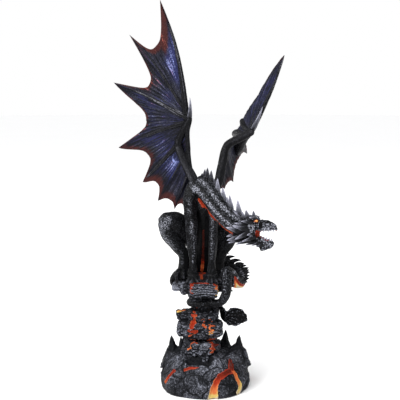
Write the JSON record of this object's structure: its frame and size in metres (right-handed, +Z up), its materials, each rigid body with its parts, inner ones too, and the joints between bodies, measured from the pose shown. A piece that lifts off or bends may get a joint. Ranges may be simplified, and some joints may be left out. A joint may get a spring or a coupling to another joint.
{
  "type": "dragon statue",
  "caption": "Winged dragon crouching on a lava-rock pillar with a round rocky mound for its base; head turned to one side with open beak, tail wound round the pillar.",
  "frame": {"origin": "centre of the mound's flat underside, on the surface the statue stands on", "axes": "+Z up along the pillar; the front, where the dragon's forepaws and chest are, faces -Y; the head points towards +X"},
  "size_m": [0.3096, 0.2858, 0.66],
  "materials": {
    "lava_rock": "painted resin rock, dark grey dry-brushed pale, with orange lava veins",
    "dragon_skin": "satin black painted resin, scales dry-brushed silver grey, lava-orange throat",
    "wing_skin": "satin black and indigo painted resin, blue highlights, dull red trailing edges"
  },
  "bodies": {
    "root": {"lava_rock_plinth": "lava_rock", "dragon_body": "dragon_skin", "wing_right": "wing_skin", "wing_left": "wing_skin"}
  },
  "joints": []
}
